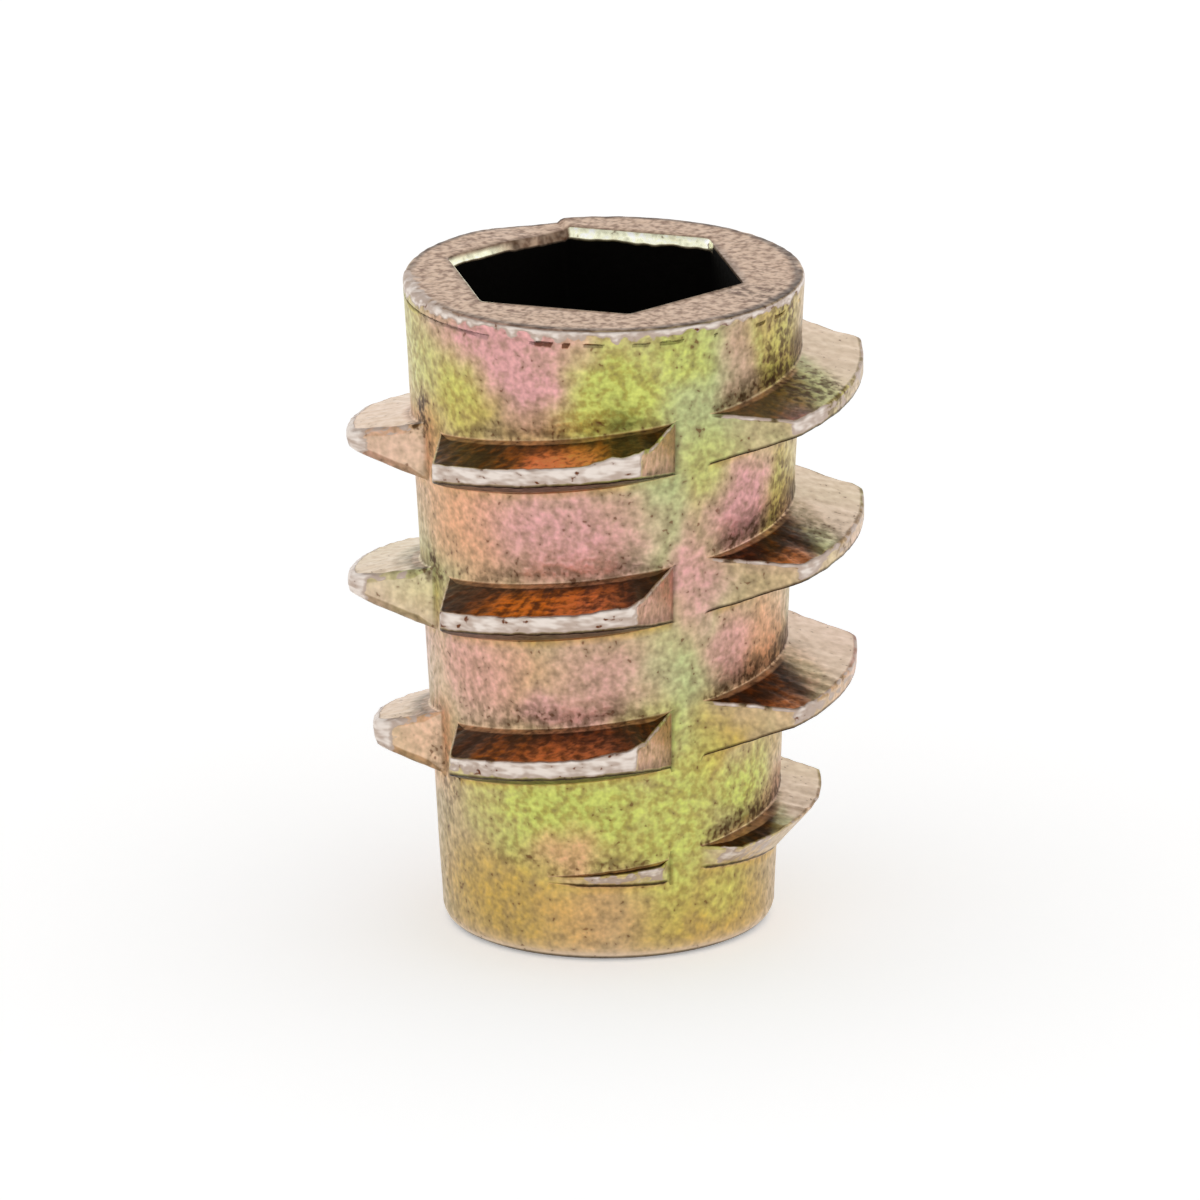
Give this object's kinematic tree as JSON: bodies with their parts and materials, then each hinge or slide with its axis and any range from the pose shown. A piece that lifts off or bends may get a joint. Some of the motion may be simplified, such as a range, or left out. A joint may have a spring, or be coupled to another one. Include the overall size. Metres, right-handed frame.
{
  "type": "threaded insert",
  "caption": "Hex-drive threaded insert for wood: a tapered cast sleeve with coarse segmented outer thread, hex socket and machine-thread bore.",
  "frame": {"origin": "centre of the tip's face, where the insert stands", "axes": "+Z along the bore from the tip to the rim with the hex socket; the casting die opens along X and Y, so fins stand centred on +X, -X, +Y and -Y; two corners of the hex point along +X and -X"},
  "size_m": [0.0116, 0.0116, 0.015],
  "materials": {
    "chromate_zinc": "die-cast zinc with an iridescent yellow chromate finish, satin, fine cast grain, worn bright on the crests"
  },
  "bodies": {
    "root": {"insert_body": "chromate_zinc"}
  },
  "joints": []
}
